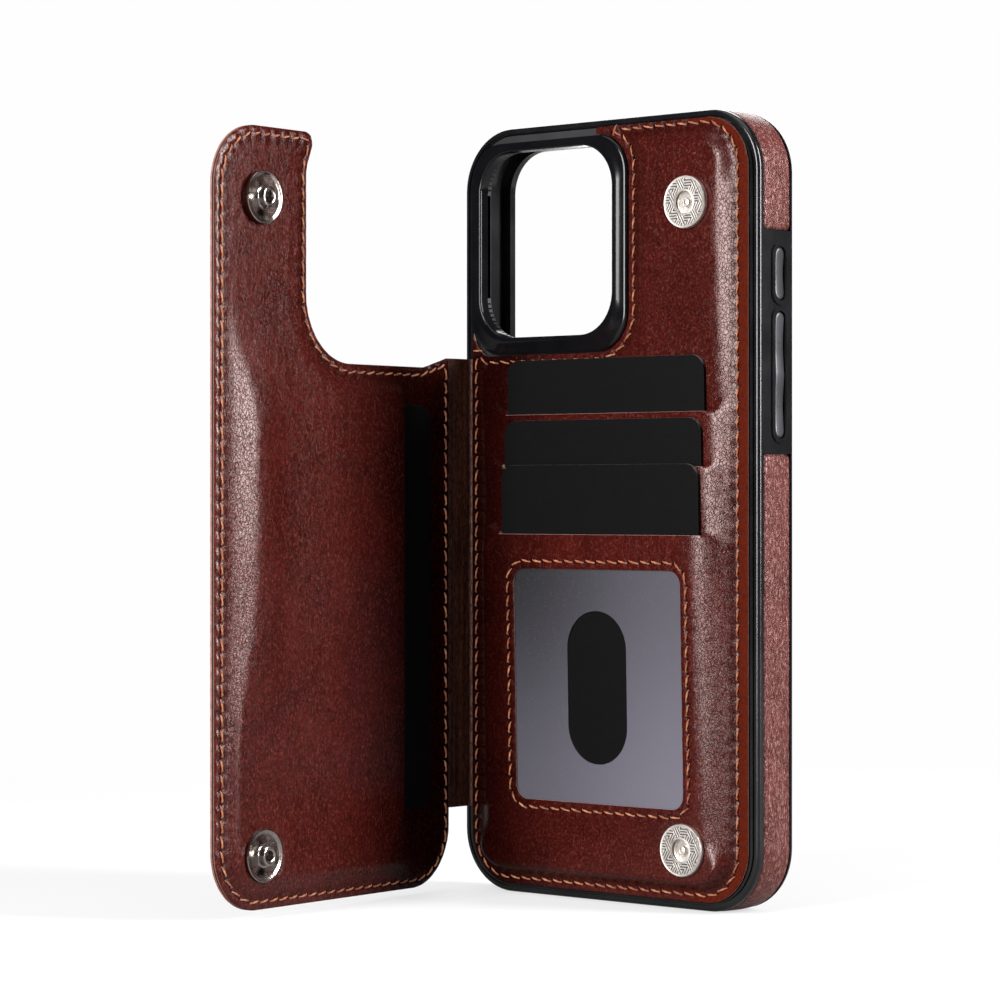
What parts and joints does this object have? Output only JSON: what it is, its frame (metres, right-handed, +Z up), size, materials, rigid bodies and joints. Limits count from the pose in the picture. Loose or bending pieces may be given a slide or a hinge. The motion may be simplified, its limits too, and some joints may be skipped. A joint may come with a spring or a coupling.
{
  "type": "phone wallet case",
  "caption": "Phone case with a leather wallet on its back: a folding flap with snaps, card pockets, an ID window and side keys.",
  "frame": {"origin": "middle of the charging opening in the bottom face that the case stands on", "axes": "+Z up along the case's height, +Y out of the screen side, -Y out of the wallet side, +X to the right when seen from the wallet side"},
  "size_m": [0.0818, 0.094, 0.1635],
  "materials": {
    "black_rubbery_plastic": "satin black flexible plastic",
    "band_leather": "grained, satin",
    "black_shell": "matt",
    "black_microfibre": "soft, matt",
    "gloss_black": "high gloss",
    "key_grey": "smooth dark grey",
    "stiffener_board": "stiff fibre board",
    "brown_leather": "glossy, fine pebble grain",
    "padding_foam": "thin foam",
    "brown_lining": "thin lining cloth",
    "frosted_window": "frosted, see-through",
    "black_card": "matt",
    "nickel": "polished, engraved face",
    "magnet": "plain",
    "orange_thread": "twisted thread"
  },
  "bodies": {
    "case": {"bumper": "black_rubbery_plastic", "side_band_lower": "band_leather", "side_band_upper": "band_leather", "back_plate": "black_shell", "phone_lining": "black_microfibre", "camera_bezel": "gloss_black", "panel_board": "stiffener_board", "panel_leather": "brown_leather", "panel_padding": "padding_foam", "pocket_divider_inner": "brown_lining", "pocket_divider_outer": "brown_lining", "id_window": "frosted_window", "socket_caps": "nickel", "socket_magnets": "magnet", "socket_bases": "nickel", "panel_stitching": "orange_thread", "window_stitching": "orange_thread"},
    "spine": {"spine_leather": "brown_leather", "spine_lining": "brown_lining"},
    "flap": {"flap_inner_leather": "brown_leather", "flap_padding": "padding_foam", "flap_pocket_lining": "brown_lining", "flap_board": "stiffener_board", "flap_outer_leather": "brown_leather", "flap_foam": "padding_foam", "studs": "nickel", "stud_washers": "nickel", "flap_stitching_inner": "orange_thread", "flap_stitching_outer": "orange_thread"},
    "card_1": {"card_1": "black_card"},
    "card_2": {"card_2": "black_card"},
    "card_3": {"card_3": "black_card"},
    "flap_card": {"flap_card": "black_card"},
    "action_key": {"action_key": "key_grey"},
    "volume_key": {"volume_key": "key_grey"},
    "power_key": {"power_key": "key_grey"}
  },
  "joints": [
    {"name": "spine_fold", "type": "hinge", "parent": "case", "child": "spine", "pos_m": [-0.0389, -0.00635, 0.06605], "axis": [0, 0, -1], "range_deg": [0, 90]},
    {"name": "flap_fold", "type": "hinge", "parent": "spine", "child": "flap", "pos_m": [-0.0389, -0.01255, 0.06605], "axis": [0, 0, -1], "range_deg": [-84.5, 5.5]},
    {"name": "card_1_slide", "type": "slide", "parent": "case", "child": "card_1", "axis": [0, -0.0227, 0.9997], "range_m": [0, 0.025]},
    {"name": "card_2_slide", "type": "slide", "parent": "case", "child": "card_2", "axis": [0, -0.0227, 0.9997], "range_m": [0, 0.076]},
    {"name": "card_3_slide", "type": "slide", "parent": "case", "child": "card_3", "axis": [0, -0.0227, 0.9997], "range_m": [0, 0.0715]},
    {"name": "flap_card_slide", "type": "slide", "parent": "flap", "child": "flap_card", "axis": [-0.0958, 0.9954, 0], "range_m": [0, 0.0045]},
    {"name": "action_key_press", "type": "slide", "parent": "case", "child": "action_key", "axis": [-1, 0, 0], "range_m": [0, 0.0005]},
    {"name": "volume_key_press", "type": "slide", "parent": "case", "child": "volume_key", "axis": [-1, 0, 0], "range_m": [0, 0.0005]},
    {"name": "power_key_press", "type": "slide", "parent": "case", "child": "power_key", "axis": [1, 0, 0], "range_m": [0, 0.0005]}
  ]
}
